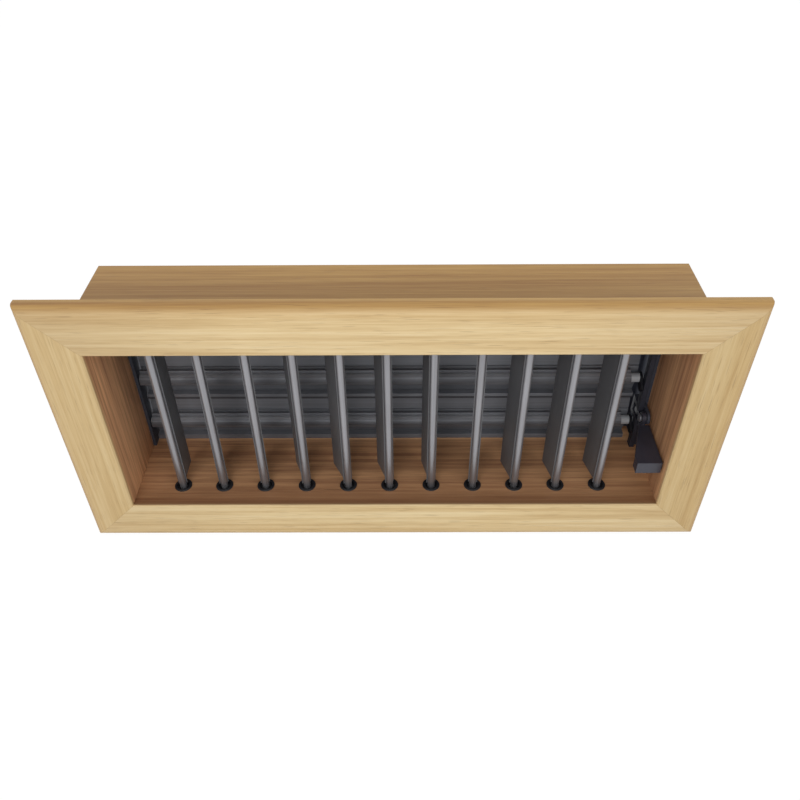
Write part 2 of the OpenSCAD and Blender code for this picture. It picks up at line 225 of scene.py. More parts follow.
class Shader:
    """The nodes of a material or a world, with one method that adds any of them."""

    def __init__(
        self,
        owner: bpy.types.Material | bpy.types.World,
        output: str = "ShaderNodeOutputMaterial",
    ) -> None:
        """Empties the owner's nodes.

        Args:
            owner: The material or world.
            output: The type of the node that its nodes end in.
        """
        owner.use_nodes = True
        self.tree = owner.node_tree
        self.tree.nodes.clear()
        self.output = output

    def node(
        self,
        kind: str,
        settings: dict[str, object] | None = None,
        inputs: dict[str | int, object] | None = None,
        out: str | int = 0,
    ) -> Socket:
        """Adds a node, sets it up and feeds it.

        Args:
            kind: The node's type.
            settings: Its own settings, or a ramp's "stops" as (place, colour).
            inputs: A value or Socket for each input that isn't left as it is.
            out: The output to return.

        Returns:
            The chosen output.
        """
        made = self.tree.nodes.new(kind)
        for key, value in (settings or {}).items():
            if key == "stops":
                self._set_stops(made.color_ramp, value)
            else:
                setattr(made, key, value)
        for key, value in (inputs or {}).items():
            if isinstance(value, Socket):
                self.tree.links.new(value.link, made.inputs[key])
            else:
                made.inputs[key].default_value = value
        return Socket(self, made.outputs[out])

    @staticmethod
    def _set_stops(ramp: bpy.types.ColorRamp, stops: list[tuple[float, Colour]]) -> None:
        """Gives a ramp its stops.

        Args:
            ramp: The ramp.
            stops: A place and a linear colour for each stop.
        """
        while len(ramp.elements) < len(stops):
            ramp.elements.new(1.0)
        for element, (place, colour) in zip(ramp.elements, stops):
            element.position = place
            element.color = (*colour, 1.0)

    def place(self) -> Socket:
        """The point on the piece, in metres of the row frame."""
        return self.node("ShaderNodeTexCoord", out="Object")

    def split(self, vector: Socket) -> tuple[Socket, Socket, Socket]:
        """Splits a vector.

        Args:
            vector: The vector.

        Returns:
            Its X, Y and Z.
        """
        parts = self.node("ShaderNodeSeparateXYZ", inputs={0: vector})
        outputs = parts.link.node.outputs
        return tuple(Socket(self, outputs[k]) for k in range(3))

    def stretched(self, scale: Triple, shift: Triple = (0.0, 0.0, 0.0)) -> Socket:
        """The point, scaled and shifted.

        Args:
            scale: The factor for each direction, per metre.
            shift: What is added after scaling.

        Returns:
            The mapped point.
        """
        inputs = {"Vector": self.place(), "Scale": scale, "Location": shift}
        return self.node("ShaderNodeMapping", inputs=inputs)

    def noise(
        self, vector: Socket, detail: float, rough: float = 0.5, bend: float = 0.0
    ) -> Socket:
        """Cloudy noise at a mapped point.

        Args:
            vector: The mapped point.
            detail: How many finer layers it has.
            rough: How strong the finer layers are.
            bend: How far it is distorted.

        Returns:
            The noise, 0 to 1.
        """
        inputs = {"Vector": vector, "Scale": 1.0, "Detail": detail}
        inputs |= {"Roughness": rough, "Distortion": bend}
        return self.node("ShaderNodeTexNoise", inputs=inputs)

    def mix(self, factor: Socket | float, low: Socket | Colour, high: Socket | Colour) -> Socket:
        """A colour between low and high.

        Args:
            factor: 0 for low, 1 for high.
            low: The first colour.
            high: The second colour.

        Returns:
            The mixed colour.
        """
        low = low if isinstance(low, Socket) else (*low, 1.0)
        high = high if isinstance(high, Socket) else (*high, 1.0)
        settings = {"data_type": "RGBA", "blend_type": "MIX"}
        return self.node("ShaderNodeMix", settings, {0: factor, 6: low, 7: high}, out=2)

    def surface(self, inputs: dict[str, object], height: Socket, depth: float) -> None:
        """Ends the material in a principled surface.

        Args:
            inputs: The surface's values and links by name.
            height: A relief that a Bump node turns into normals.
            depth: The relief's depth in metres.
        """
        bump = {"Height": height, "Distance": depth, "Strength": 1.0}
        inputs = {**inputs, "Normal": self.node("ShaderNodeBump", inputs=bump)}
        self.finish(self.node("ShaderNodeBsdfPrincipled", inputs=inputs))

    def finish(self, shade: Socket) -> None:
        """Links a shade to the output node."""
        made = self.tree.nodes.new(self.output)
        self.tree.links.new(shade.link, made.inputs["Surface"])


@dataclass(frozen=True)
class Grain:
    """A layer of noise stretched along the grain, with its part in tone and relief."""

    along: float
    across: float
    detail: float
    rough: float
    bend: float
    share: float
    height: float


# Each layer's scale along and across the grain, detail, roughness, bend, share, height
BANDS = Grain(4.0, 110.0, 2.0, 0.5, 0.15, 0.34, 0.0)
LINES = Grain(9.0, 520.0, 3.0, 0.55, 0.2, 0.42, 0.6)
FIBRES = Grain(45.0, 1700.0, 2.0, 0.6, 0.0, 0.24, 0.3)
PORES = Grain(85.0, 2300.0, 1.0, 0.5, 0.0, 0.30, -0.9)


@dataclass(frozen=True)
class OakFinish:
    """Oak with straight grain: sanded pale in front, and brown behind the face, partly oil and
    partly painted shade.

    A range is where a ramp starts and ends: of the noise, of a distance or
    of Y. A share is how far a colour is mixed in, and edge_share is how much
    of the face's colour the flange's flat edge keeps.
    """

    name: str
    grain: Axis
    shift: float
    tint: Colour = (1.0, 1.0, 1.0)
    inside_painted_light: float = 1.0
    mouth_share: float = 0.0
    painted_falloff_share: float = 0.0
    pale: Colour = srgb(226, 204, 160)
    mid: Colour = srgb(216, 190, 142)
    dark: Colour = srgb(198, 168, 119)
    deep: Colour = srgb(118, 84, 52)
    edge_pale: Colour = srgb(191, 152, 91)
    edge_dark: Colour = srgb(158, 117, 68)
    oil_pale: Colour = srgb(196, 150, 108)
    oil_dark: Colour = srgb(140, 98, 70)
    shade: Colour = srgb(122, 90, 52)
    mouth: Colour = srgb(104, 66, 38)
    seam: Colour = srgb(92, 64, 40)
    tone_places: Triple = (0.38, 0.50, 0.63)
    oil_range: Range = (0.38, 0.62)
    pore_range: Range = (0.62, 0.74)
    corner_range: Range = (0.0, 0.4 * MM)
    rim_range: Range = (13 * MM, 22 * MM)
    rim_share: float = 0.3
    round_range: Range = (20 * MM, 22.6 * MM)
    round_share: float = 0.5
    painted_falloff_range: Range = (60 * MM, 140 * MM)
    edge_start: Range = (FACE_Y + 4.9 * MM, FACE_Y + 5.3 * MM)
    edge_end: Range = (FLANGE_BACK_Y - 0.1 * MM, FLANGE_BACK_Y + 0.1 * MM)
    edge_share: float = 0.4
    behind_range: Range = (FACE_Y + 0.3 * MM, FACE_Y + 2.6 * MM)
    shade_start: Range = (FLANGE_BACK_Y, FLANGE_BACK_Y + 0.2 * MM)
    shade_end: Range = (FLANGE_BACK_Y, FLANGE_BACK_Y + 45 * MM)
    shade_share: float = 0.8
    mouth_start: Range = (FACE_Y + 0.4 * MM, FACE_Y + 1.4 * MM)
    mouth_end: Range = (FACE_Y + 2 * MM, FACE_Y + 21 * MM)
    seam_range: Range = (0.05 * MM, 0.22 * MM)
    seam_share: float = 0.15
    roughness: float = 0.46
    roughness_spread: float = 0.12
    ior: float = 1.45
    relief: float = 0.04 * MM

    def build(self) -> bpy.types.Material:
        """Makes the material.

        Bands, lines and fibres are noise stretched along the grain, and
        pores are short dark dashes where the finest noise is high. Outside
        the opening the collar is shaded under the flange, and less so
        further back. Just inside the opening the wood is darker by the share
        of the mouth. A thin dark line marks the mitre, where the distances
        beyond the opening's side and beyond its edge are equal.

        Returns:
            The material.
        """
        material = bpy.data.materials.new(self.name)
        s = Shader(material)
        band = self._layer(s, BANDS, (self.shift,) * 3)
        line = self._layer(s, LINES, (self.shift, 0.0, 2.0))
        fibre = self._layer(s, FIBRES, (1.0, self.shift, 0.0))
        pores = self._layer(s, PORES, (3.0, self.shift, 1.0)).step(*self.pore_range)
        tone = (band * BANDS.share + line * LINES.share + fibre * FIBRES.share).clamped()
        x, y, z = s.split(s.place())
        side, above = abs(x) - HALF_W, abs(z) - HALF_H
        beyond_side = side.step(*self.corner_range)
        outside = (beyond_side + above.step(*self.corner_range)).clamped()
        front = self._face(s, tone, abs(x), side.larger(above))
        back = self._oiled_and_shaded(s, tone, outside)
        edge = y.between(self.edge_start, self.edge_end) * outside
        behind = y.step(*self.behind_range) * (1 - edge * self.edge_share)
        wood = s.mix(behind, front, back)
        shade = outside * y.between(self.shade_start, self.shade_end)
        wood = s.mix(shade * self.shade_share, wood, self.shade)
        mouth = (1 - outside) * y.between(self.mouth_start, self.mouth_end)
        wood = s.mix(mouth * self.mouth_share, wood, self.mouth)
        wood = s.mix(pores * PORES.share, wood, self.deep)
        seam = 1 - abs(side - above).step(*self.seam_range)
        wood = s.mix(seam * beyond_side * self.seam_share, wood, self.seam)
        rough = self.roughness + line * self.roughness_spread
        relief = line * LINES.height + fibre * FIBRES.height + pores * PORES.height
        s.surface({"Base Color": wood, "Roughness": rough, "IOR": self.ior}, relief, self.relief)
        return material

    def _face(self, s: Shader, tone: Socket, from_middle: Socket, beyond: Socket) -> Socket:
        """The sanded face: browner towards its rim and on its outer round.

        Args:
            s: The material's nodes.
            tone: The grain, from 0 for pale to 1 for dark.
            from_middle: The distance from the middle along X, which makes
                both ends of a rail darker by painted_falloff_share, as a
                painted falloff of the light towards the ends.
            beyond: The distance beyond the opening.

        Returns:
            The face's colour.
        """
        colours = [self._scaled(c, self.tint) for c in (self.pale, self.mid, self.dark)]
        stops = {"stops": list(zip(self.tone_places, colours))}
        front = s.node("ShaderNodeValToRGB", stops, {0: tone})
        # Painted shade in part: the face's rim and outer round turn browner, partly as stain and
        # partly as painted shade.
        rim = beyond.step(*self.rim_range) * self.rim_share
        rim = rim + beyond.step(*self.round_range) * self.round_share
        front = s.mix(rim, front, self.edge_pale)
        # Painted shade: both ends of a rail are darker, a painted falloff of the light from the
        # middle.
        return s.mix(from_middle.step(*self.painted_falloff_range) * self.painted_falloff_share, front, self.deep)

    def _oiled_and_shaded(self, s: Shader, tone: Socket, outside: Socket) -> Socket:
        """The oiled wood behind the face: reddish inside the opening, yellower outside.

        Inside, it is lightened by painted light; outside, its darker brown is
        partly painted shade.

        Args:
            s: The material's nodes.
            tone: The grain, from 0 for pale to 1 for dark.
            outside: 1 outside the opening, 0 inside.

        Returns:
            The colour behind the face.
        """
        depth = tone.step(*self.oil_range)
        # Painted light: inside_painted_light lightens the oiled wood inside the opening, where it
        # lies in shade.
        inner = [self._scaled(c, (self.inside_painted_light,) * 3) for c in (self.oil_pale, self.oil_dark)]
        # Outside the opening, the darker brown of edge_pale and edge_dark is partly oil and
        # partly painted shade.
        outer = (self.edge_pale, self.edge_dark)
        return s.mix(outside, s.mix(depth, *inner), s.mix(depth, *outer))

    def _layer(self, s: Shader, grain: Grain, shift: Triple) -> Socket:
        """Noise that changes slowly along the grain.

        Args:
            s: The material's nodes.
            grain: The layer.
            shift: How far its pattern is moved.

        Returns:
            The noise, 0 to 1.
        """
        scale = [grain.across] * 3
        scale[self.grain.value] = grain.along
        place = s.stretched(tuple(scale), shift)
        return s.noise(place, grain.detail, grain.rough, grain.bend)

    @staticmethod
    def _scaled(colour: Colour, factors: Triple) -> Colour:
        """A colour made lighter or darker by a factor for each of its values."""
        return tuple(min(1.0, c * f) for c, f in zip(colour, factors))


def tones(colour: Colour, spread: float) -> tuple[Colour, Colour]:
    """A colour made darker, and made lighter, by the share spread."""
    low = tuple(c * (1 - spread) for c in colour)
    return low, tuple(min(1.0, c * (1 + spread)) for c in colour)


@dataclass(frozen=True)
class Streak:
    """A level streak of painted shade or a painted highlight on what lies in front of its back
    limit.
    """

    top: float
    height: float
    share: float
    colour: Colour
    back: float
    fade: float = 0.2 * MM

    def on(self, s: Shader, tone: Socket, y: Socket, z: Socket) -> Socket:
        """Mixes the streak into a tone, faded out at its edges.

        Args:
            s: The material's nodes.
            tone: The colour that the streak lies on.
            y: The point's Y.
            z: The point's Z.

        Returns:
            The colour with the streak.
        """
        ramp = (-self.fade, self.fade)
        bottom = self.top - self.height
        band = (z - bottom).step(*ramp) * (1 - (z - self.top).step(*ramp))
        front = 1 - (y - self.back).step(*ramp)
        return s.mix(band * front * self.share, tone, self.colour)


@dataclass(frozen=True)
class MetalFinish:
    """Drawn or extruded metal, with fine lines along one direction."""

    name: str
    colour: Colour
    lines: Axis
    metallic: float
    roughness: float
    streaks: tuple[Streak, ...] = ()
    spread: float = 0.16
    line_along: float = 12.0
    line_across: float = 1400.0
    cloud_scale: float = 40.0
    detail: float = 2.0
    line_share: float = 0.6
    tone_range: Range = (0.3, 0.7)
    line_gloss: float = 0.2
    cloud_gloss: float = 0.1
    relief: float = 0.01 * MM

    def build(self) -> bpy.types.Material:
        """Makes the material: stretched noise and clouds shift tone and gloss.

        Returns:
            The material.
        """
        material = bpy.data.materials.new(self.name)
        s = Shader(material)
        scale = [self.line_across] * 3
        scale[self.lines.value] = self.line_along
        line = s.noise(s.stretched(tuple(scale)), self.detail)
        cloud = s.noise(s.stretched((self.cloud_scale,) * 3), self.detail)
        share = line * self.line_share + cloud * (1 - self.line_share)
        tone = s.mix(share.step(*self.tone_range), *tones(self.colour, self.spread))
        # The streaks are painted shade and painted highlights.
        if self.streaks:
            _, y, z = s.split(s.place())
            for streak in self.streaks:
                tone = streak.on(s, tone, y, z)
        rough = (line - 0.5) * self.line_gloss + (cloud - 0.5) * self.cloud_gloss + self.roughness
        inputs = {"Base Color": tone, "Metallic": self.metallic, "Roughness": rough}
        s.surface(inputs, line, self.relief)
        return material


@dataclass(frozen=True)
class PlasticFinish:
    """Moulded plastic with a faint grain and cloudy gloss."""

    name: str
    colour: Colour
    roughness: float
    spread: float = 0.10
    shine: float = 0.5
    grain_scale: float = 2600.0
    grain_detail: float = 1.0
    cloud_scale: float = 90.0
    cloud_detail: float = 2.0
    tone_range: Range = (0.35, 0.65)
    cloud_gloss: float = 0.15
    ior: float = 1.48
    relief: float = 0.02 * MM

    def build(self) -> bpy.types.Material:
        """Makes the material: fine noise gives the grain, coarse noise the cloudy tone.

        Returns:
            The material.
        """
        material = bpy.data.materials.new(self.name)
        s = Shader(material)
        fine = s.noise(s.stretched((self.grain_scale,) * 3), self.grain_detail)
        cloud = s.noise(s.stretched((self.cloud_scale,) * 3), self.cloud_detail)
        tone = s.mix(cloud.step(*self.tone_range), *tones(self.colour, self.spread))
        rough = (cloud - 0.5) * self.cloud_gloss + self.roughness
        inputs = {"Base Color": tone, "Roughness": rough, "IOR": self.ior}
        inputs |= {"Specular IOR Level": self.shine}
        s.surface(inputs, fine, self.relief)
        return material


Finish = OakFinish | MetalFinish | PlasticFinish


# Meshes


def finished(
    name: str, mesh: bpy.types.Mesh, finish: Finish, body: str, nodes: list[str]
) -> bpy.types.Object:
    """Puts a mesh into the scene as a piece that stands for CAD nodes.

    Args:
        name: The piece's name.
        mesh: Its mesh, in place.
        finish: Its finish.
        body: The body that it rides on.
        nodes: The nodes that it stands for.

    Returns:
        The piece.
    """
    piece = bpy.data.objects.new(name, mesh)
    bpy.context.scene.collection.objects.link(piece)
    mesh.materials.clear()
    mesh.materials.append(palette(finish))
    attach(piece, body)
    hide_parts(*nodes)
    log.info("%s: %d faces, rides on %s", name, len(mesh.polygons), body)
    return piece


_materials: dict[str, bpy.types.Material] = {}


def palette(finish: Finish) -> bpy.types.Material:
    """Looks up a finish's material, and makes it at its first use.

    Args:
        finish: The finish.

    Returns:
        Its material.
    """
    if finish.name not in _materials:
        _materials[finish.name] = finish.build()
    return _materials[finish.name]


def eased_piece(
    name: str, node: str, finish: Finish, body: str, width: float
) -> None:
    """Makes a piece from a CAD node's own shape, with its edges eased.

    Args:
        name: The piece's name.
        node: The node that it copies and stands for.
        finish: Its finish.
        body: The body that it rides on.
        width: How wide the eased edges are, in metres.
    """
    ease(finished(name, merged_copy(node), finish, body, [node]), width)


def merged_copy(node: str) -> bpy.types.Mesh:
    """Copies a CAD node's mesh, with its points merged and its flat triangles joined.

    Args:
        node: The node's name.

    Returns:
        The copy.
    """
    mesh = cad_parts[node].data.copy()
    mesh.name = node + "_eased"
    work = bmesh.new()
    work.from_mesh(mesh)
    bmesh.ops.remove_doubles(work, verts=work.verts, dist=WELD)
    bmesh.ops.dissolve_limit(
        work, angle_limit=FLAT, verts=work.verts, edges=work.edges, delimit={"NORMAL"}
    )
    work.to_mesh(mesh)
    work.free()
    mesh.update()
    return mesh


def ease(piece: bpy.types.Object, width: float) -> None:
    """Rounds a piece's sharp edges with a Bevel modifier and shades it smooth.

    Args:
        piece: The piece.
        width: The bevel's width in metres.
    """
    bevel = piece.modifiers.new("eased edges", "BEVEL")
    bevel.width = width
    bevel.segments = 2
    bevel.limit_method = "ANGLE"
    bevel.angle_limit = EASED_ANGLE
    bevel.harden_normals = True
    bevel.use_clamp_overlap = True
    piece.data.shade_smooth()
    piece.data.set_sharp_from_angle(angle=EASED_ANGLE)


@dataclass(frozen=True)
class Recess:
    """A cross recess: how far its arms reach, their depth and half their width."""

    reach: float
    depth: float
    half_w: float = 0.35 * MM


@dataclass(frozen=True)
class Turned:
    """A surface of revolution about a line.

    The line starts at centre and runs along axis; the outline gives pairs of
    a distance along it and a radius. A cross recess may be cut into its end.
    """

    centre: Triple
    axis: Triple
    outline: Outline
    segments: int = 48
    recess: Recess | None = None

    def points(self) -> np.ndarray:
        """Works out the grid of points.

        With a unit axis a and two unit directions e and f square to it, the
        point at outline place k and angle t is
        centre + h(k) a + r(k) (cos t e + sin t f). In the end face, a cross of
        two arms lowers h by the recess depth, faded out over the arm's flank.

        Returns:
            An array of outline places by angles by 3.
        """
        axis = np.array(self.axis, float)
        axis /= np.linalg.norm(axis)
        side = np.cross(axis, [0.0, 0.0, 1.0] if abs(axis[2]) < 0.9 else [1.0, 0.0, 0.0])
        side /= np.linalg.norm(side)
        other = np.cross(axis, side)
        along, radius = np.array(self.outline, float).T
        turn = np.linspace(0, 2 * math.pi, self.segments, endpoint=False)
        u = radius[:, None] * np.cos(turn)
        v = radius[:, None] * np.sin(turn)
        height = along[:, None] - self._lowered(u, v, radius)
        across = u[..., None] * side + v[..., None] * other
        return np.array(self.centre) + height[..., None] * axis + across

    def _lowered(self, u: np.ndarray, v: np.ndarray, radius: np.ndarray) -> np.ndarray:
        """Depth of the cross at each point: full where either arm covers it.

        An arm covers a point whose distance from the arm's line is under half
        its width and whose distance from the middle is under the arm's reach.
        Both limits fade over a fifth of the arm's width. Only the outline's
        places beyond its widest one, the top of the head, are lowered.

        Args:
            u: Each point's distance from the line, along the first arm.
            v: The same along the second arm.
            radius: The outline's radii.

        Returns:
            The depths, as an array of outline places by angles.
        """
        if self.recess is None:
            return np.zeros_like(u)
        half_w = self.recess.half_w
        fade = half_w * 2 / 5
        reach = np.clip((self.recess.reach - np.hypot(u, v)) / fade, 0, 1)
        arm_u = np.clip((half_w - np.abs(v)) / fade + 0.5, 0, 1)
        arm_v = np.clip((half_w - np.abs(u)) / fade + 0.5, 0, 1)
        top = (np.arange(len(radius)) > radius.argmax()).astype(float)[:, None]
        return self.recess.depth * reach * np.maximum(arm_u, arm_v) * top

    def add_to(self, work: bmesh.types.BMesh) -> None:
        """Adds the surface, closed at both ends.

        Args:
            work: The mesh in work.
        """
        points = self.points()
        rows, turns, _ = points.shape
        index = np.arange(rows * turns).reshape(rows, turns)
        after = np.roll(index, -1, axis=1)
        corners = [index[:-1], after[:-1], after[1:], index[1:]]
        quads = np.stack(corners, axis=-1).reshape(-1, 4)
        mesh = bpy.data.meshes.new("turned")
        mesh.from_pydata(points.reshape(-1, 3).tolist(), [], quads.tolist())
        work.from_mesh(mesh)
        bpy.data.meshes.remove(mesh)


def turned_mesh(name: str, parts: list[Turned]) -> bpy.types.Mesh:
    """Joins turned surfaces into one mesh with its faces outwards.

    Args:
        name: The mesh's name.
        parts: The surfaces.

    Returns:
        The mesh, shaded smooth with its edges sharp.
    """
    work = bmesh.new()
    for part in parts:
        part.add_to(work)
    bmesh.ops.remove_doubles(work, verts=work.verts, dist=WELD)
    bmesh.ops.recalc_face_normals(work, faces=work.faces)
    mesh = bpy.data.meshes.new(name)
    work.to_mesh(mesh)
    work.free()
    mesh.shade_smooth()
    mesh.set_sharp_from_angle(angle=TURNED_ANGLE)
    return mesh


def arc(h0: float, r0: float, h1: float, r1: float, bulge: bool = True) -> Outline:
    """A quarter turn between two outline places.

    Args:
        h0: Distance along the axis at the start.
        r0: Radius at the start.
        h1: Distance along the axis at the end.
        r1: Radius at the end.
        bulge: True to leave along the axis first, False to leave across it.

    Returns:
        The places, with height and radius going as sine and one minus cosine.
    """
    turn = np.linspace(0, math.pi / 2, ARC_STEPS + 1)
    first, second = np.sin(turn), 1 - np.cos(turn)
    share_h, share_r = (first, second) if bulge else (second, first)
    heights = h0 + (h1 - h0) * share_h
    return list(zip(heights.tolist(), (r0 + (r1 - r0) * share_r).tolist()))


def screw_head(start: float, radius: float, height: float) -> Outline:
    """A domed head's outline from its underside to its top's middle.

    Args:
        start: The underside's distance along the axis.
        radius: The head's radius.
        height: The head's height.

    Returns:
        The outline: a short upright rim, then a dome that rises with the
        square root of one minus the square of the radius.
    """
    rim = height * HEAD_RIM
    share = np.linspace(1.0, 0.0, HEAD_RINGS)
    rise = rim + (height - rim) * np.sqrt(np.clip(1 - share**2, 0, 1))
    return [(start, radius), *zip((start + rise).tolist(), (radius * share).tolist())]


def span(node: str) -> tuple[np.ndarray, np.ndarray]:
    """A CAD node's lowest and highest corners as arrays."""
    low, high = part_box(node)
    return np.array(low), np.array(high)


# Finishes

# Colours of painted shade and a painted highlight for the blades' streaks
PAINTED_SHADE = srgb(36, 36, 40)
PAINTED_HIGHLIGHT = srgb(175, 177, 183)

# A blade's streaks: top above its lowest point, height, share, colour, back limit
# LIP_SHADE is painted shade under each lip where it laps over the blade below, SHOULDER_TOP a
# painted highlight line and SHOULDER_UNDERSIDE painted shade under each shoulder.
LIP_SHADE = Streak(1.4 * MM, 3.1 * MM, 0.75, PAINTED_SHADE, 41.8 * MM)
SHOULDER_TOP = Streak(17.5 * MM, 0.7 * MM, 0.6, PAINTED_HIGHLIGHT, 39.0 * MM)
SHOULDER_UNDERSIDE = Streak(15.8 * MM, 2.2 * MM, 0.4, PAINTED_SHADE, 39.0 * MM)


def blade_streaks() -> tuple[Streak, ...]:
    """Puts the streaks at the heights of the blades.

    Returns:
        Painted shade under the lips that lap over a blade, a painted
        highlight line along each shoulder's top, and painted shade on each
        shoulder's underside.
    """
    lows = [float(span("blade_" + level.value)[0][2]) for level in Level]
    marks = ((LIP_SHADE, lows[1:]), (SHOULDER_TOP, lows), (SHOULDER_UNDERSIDE, lows))
    return tuple(replace(mark, top=low + mark.top) for mark, places in marks for low in places)


# Each rail's inside_painted_light lightens its oiled wood inside the opening as painted light,
# set to the shade that rail lies in.
OAK_TOP = OakFinish(
    "oak top rail", Axis.X, 0.0, tint=(1.10, 1.10, 1.11), inside_painted_light=1.2, painted_falloff_share=0.22
)
OAK_BOTTOM = OakFinish(
    "oak bottom rail",
    Axis.X,
    7.3,
    tint=(1.05, 1.06, 1.07),
    inside_painted_light=1.3,
    mouth_share=0.8,
    painted_falloff_share=0.12,
)
OAK_LEFT = OakFinish("oak left stile", Axis.Z, 3.1, tint=(0.90, 0.86, 0.79), inside_painted_light=1.5)
OAK_RIGHT = OakFinish("oak right stile", Axis.Z, 11.9, tint=(0.88, 0.84, 0.76), inside_painted_light=1.35)

# Metals, with their lines' direction, metallic share and roughness
ROD_METAL = MetalFinish("satin rod aluminium", srgb(154, 154, 158), Axis.Z, 0.8, 0.38)
PLATE_METAL = MetalFinish("dark vane plate", srgb(104, 104, 107), Axis.Z, 0.3, 0.5)
BLADE_METAL = MetalFinish(
    "extruded blade", srgb(115, 117, 123), Axis.X, 0.2, 0.48, blade_streaks()
)
RAIL_METAL = MetalFinish("bluish rail", srgb(66, 70, 82), Axis.Z, 0.2, 0.6)
SCREW_STEEL = MetalFinish("plated screw steel", srgb(200, 200, 202), Axis.Y, 0.9, 0.28)
PIN_STEEL = MetalFinish("dull pin steel", srgb(112, 112, 118), Axis.Y, 0.5, 0.5)

# Plastics, with their roughness
BUSH_PLASTIC = PlasticFinish("black bush plastic", srgb(28, 27, 30), 0.5)
CRANK_PLASTIC = PlasticFinish("black crank plastic", srgb(24, 24, 29), 0.6, shine=0.2)
BAR_PLASTIC = PlasticFinish("grey bar plastic", srgb(50, 51, 60), 0.55, shine=0.25)
LEVER_PLASTIC = PlasticFinish("dark lever plastic", srgb(54, 54, 65), 0.36)
NYLON = PlasticFinish("greyed nylon", srgb(174, 177, 181), 0.38, spread=0.04)


# Sub-assemblies


@dataclass
class WoodenFrame:
    """Four mitred mouldings of one profile, with eased edges."""

    edge: float = 0.35 * MM
    pieces: dict[str, Finish] = field(
        default_factory=lambda: {
            "top_rail": OAK_TOP,
            "bottom_rail": OAK_BOTTOM,
            "left_stile": OAK_LEFT,
            "right_stile": OAK_RIGHT,
        }
    )

    def build(self) -> None:
        """Makes each moulding from its node."""
        for node, finish in self.pieces.items():
            eased_piece(node + "_oak", node, finish, "frame", self.edge)


@dataclass
class VaneRow:
    """Upright vanes: round rods with dark plates, turning in black bushes."""

    plate_edge: float = 0.2 * MM
    rod_lip: float = 0.4 * MM
    clear: float = 0.05 * MM
    head_t: float = 0.5 * MM
    head_rim: float = 0.1 * MM
    head_lip: float = 0.25 * MM
    dish_r: float = 3.0 * MM
    dish_depth: float = 1.2 * MM
    dish_taper: float = 0.2 * MM
    bush_r: float = 3.49 * MM
    bush_depth: float = 6.0 * MM
    bush_floor: float = 0.6 * MM

    def build(self) -> None:
        """Makes the vanes, then both rows of bushes."""
        numbers = sorted(n[-2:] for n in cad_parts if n.startswith("vane_rod_"))
        for number in numbers:
            self._vane(number)
        rods = [span("vane_rod_" + number) for number in numbers]
        self._bushes("upper_bushes", rods, Row.CEILING)
        self._bushes("lower_bushes", rods, Row.FLOOR)

    def _vane(self, number: str) -> None:
        """Makes a rod with rounded ends, turned about its middle line, and its plate.

        Args:
            number: The vane's number, as in its nodes' names.
        """
        node, body = "vane_rod_" + number, "vane_" + number
        low, high = span(node)
        middle, radius = (low + high) / 2, (high[0] - low[0]) / 2
        half, lip = (high[2] - low[2]) / 2, self.rod_lip
        outline = [(-half, 0.0), *arc(-half, radius - lip, lip - half, radius, False)]
        outline += [*arc(half - lip, radius, half, radius - lip), (half, 0.0)]
        mesh = turned_mesh("rod", [Turned(tuple(middle), (0.0, 0.0, 1.0), outline)])
        finished("rod_" + number, mesh, ROD_METAL, body, [node])
        plate = "vane_plate_" + number
        eased_piece("plate_" + number, plate, PLATE_METAL, body, self.plate_edge)

    def _bushes(
        self, node: str, rods: list[tuple[np.ndarray, np.ndarray]], row: Row
    ) -> None:
        """Makes a row of bushes.

        Args:
            node: The node that holds the row.
            rods: The rods' corners.
            row: Which row it is.
        """
        low, high = span(node)
        start = low[2] if row is Row.CEILING else high[2]
        head_r = (high[1] - low[1]) / 2
        parts = []
        for rod_low, rod_high in rods:
            middle, rod_r = (rod_low + rod_high) / 2, (rod_high[0] - rod_low[0]) / 2
            mouth = (middle[0], middle[1], start)
            outline = self._bush(head_r, rod_r + self.clear)
            parts.append(Turned(mouth, (0.0, 0.0, row.value), outline))
        mesh = turned_mesh(node, parts)
        finished(node + "_turned", mesh, BUSH_PLASTIC, "frame", [node])

    def _bush(self, head_r: float, bore: float) -> Outline:
        """A bush's outline: a rounded head, a dish around the rod and a blind bore.

        Args:
            head_r: The head's radius.
            bore: The bore's radius.

        Returns:
            The outline, its line running from the mouth into the wood.
        """
        end, lip = self.head_t + self.bush_depth, self.head_lip
        bottom = end - self.bush_floor
        outline = [(end, 0.0), (end, self.bush_r), (self.head_t, self.bush_r)]
        outline += [(self.head_t, head_r)]
        outline += arc(self.head_t - self.head_rim, head_r, 0.0, head_r - lip)
        outline += arc(0.0, self.dish_r + lip, lip, self.dish_r, False)
        outline += [(self.dish_depth, self.dish_r - self.dish_taper), (self.dish_depth, bore)]
        return [*outline, (bottom, bore), (bottom, 0.0)]


@dataclass
class Damper:
    """Three blades on nylon pivots between two side rails, with a stop strip."""

    edge: float = 0.12 * MM
    rail_edge: float = 0.2 * MM

    def build(self) -> None:
        """Makes the rails and the strip, then each blade with its pivots and crank."""
        for node, finish, slot in (
            ("damper_left_rail", RAIL_METAL, "rail_metal"),
            ("damper_right_rail", RAIL_METAL, "rail_metal"),
            ("damper_stop_strip", BLADE_METAL, "blade_metal"),
        ):
            eased_piece(node + "_eased", node, finish, "frame", self.rail_edge)
        for level in Level:
            self._blade(level)
            self._pivot("left_pivot_" + level.value, level)
            self._pivot("right_pivot_" + level.value, level)

    def _blade(self, level: Level) -> None:
        """Makes a blade and its crank with eased edges from their nodes.

        Args:
            level: The blade's level.
        """
        for node, finish, slot in (
            ("blade_" + level.value, BLADE_METAL, "blade_metal"),
            ("crank_" + level.value, CRANK_PLASTIC, "black_plastic"),
        ):
            body = level.value + "_blade"
            eased_piece(node + "_eased", node, finish, body, self.edge)

    def _pivot(self, node: str, level: Level) -> None:
        """Gives a pivot its finish; its node's shape stays.

        Args:
            node: The pivot's node.
            level: The level of the blade that it rides on.
        """
        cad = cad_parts[node]
        cad.data.materials.clear()
        cad.data.materials.append(palette(NYLON))
        log.info("%s: node kept, rides on %s_blade", node, level.value)


